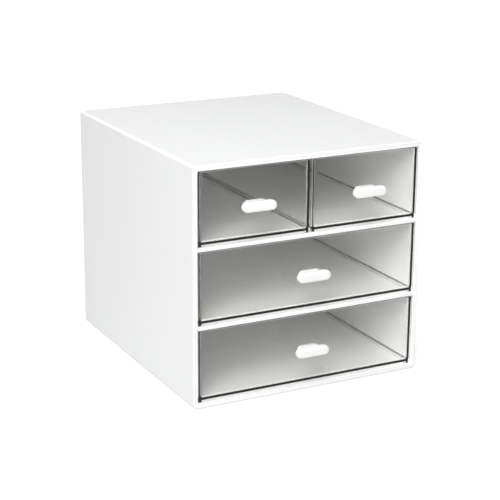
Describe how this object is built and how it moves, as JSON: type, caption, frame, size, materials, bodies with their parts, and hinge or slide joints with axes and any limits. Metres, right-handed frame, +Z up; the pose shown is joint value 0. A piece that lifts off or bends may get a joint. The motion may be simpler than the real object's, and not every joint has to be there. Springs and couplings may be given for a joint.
{
  "type": "desktop mini drawers",
  "caption": "White plastic desktop cabinet with two small clear drawers side by side above two full-width clear drawers, each with a pill-shaped knob.",
  "frame": {"origin": "middle of the overall box in plan, knobs included, on the surface that the feet stand on", "axes": "+X to the right as the drawers face you, -Y towards the person who pulls the drawers, +Z up"},
  "size_m": [0.163, 0.191, 0.156],
  "materials": {
    "case_white": "smooth moulded white, satin",
    "panel_white": "fine matt moulded white",
    "shelf_white": "smooth moulded white, satin",
    "drawer_clear": "polished clear, faintly smoky",
    "knob_white": "smooth moulded white",
    "clip_white": "smooth moulded white",
    "foot_rubber": "matt soft rubber"
  },
  "bodies": {
    "cabinet": {"cabinet_shell": "case_white", "back_panel": "panel_white", "upper_shelf": "shelf_white", "lower_shelf": "shelf_white", "foot_front_left": "foot_rubber", "foot_front_right": "foot_rubber", "foot_rear_left": "foot_rubber", "foot_rear_right": "foot_rubber"},
    "upper_left_drawer": {"drawer_upper_left": "drawer_clear", "knob_upper_left": "knob_white", "knob_clip_upper_left": "clip_white"},
    "upper_right_drawer": {"drawer_upper_right": "drawer_clear", "knob_upper_right": "knob_white", "knob_clip_upper_right": "clip_white"},
    "middle_drawer": {"drawer_middle": "drawer_clear", "knob_middle": "knob_white", "knob_clip_middle": "clip_white"},
    "lower_drawer": {"drawer_lower": "drawer_clear", "knob_lower": "knob_white", "knob_clip_lower": "clip_white"}
  },
  "joints": [
    {"name": "upper_left_drawer_slide", "type": "slide", "parent": "cabinet", "child": "upper_left_drawer", "axis": [0, -1, 0], "range_m": [0, 0.15]},
    {"name": "upper_right_drawer_slide", "type": "slide", "parent": "cabinet", "child": "upper_right_drawer", "axis": [0, -1, 0], "range_m": [0, 0.15]},
    {"name": "middle_drawer_slide", "type": "slide", "parent": "cabinet", "child": "middle_drawer", "axis": [0, -1, 0], "range_m": [0, 0.15]},
    {"name": "lower_drawer_slide", "type": "slide", "parent": "cabinet", "child": "lower_drawer", "axis": [0, -1, 0], "range_m": [0, 0.15]}
  ]
}
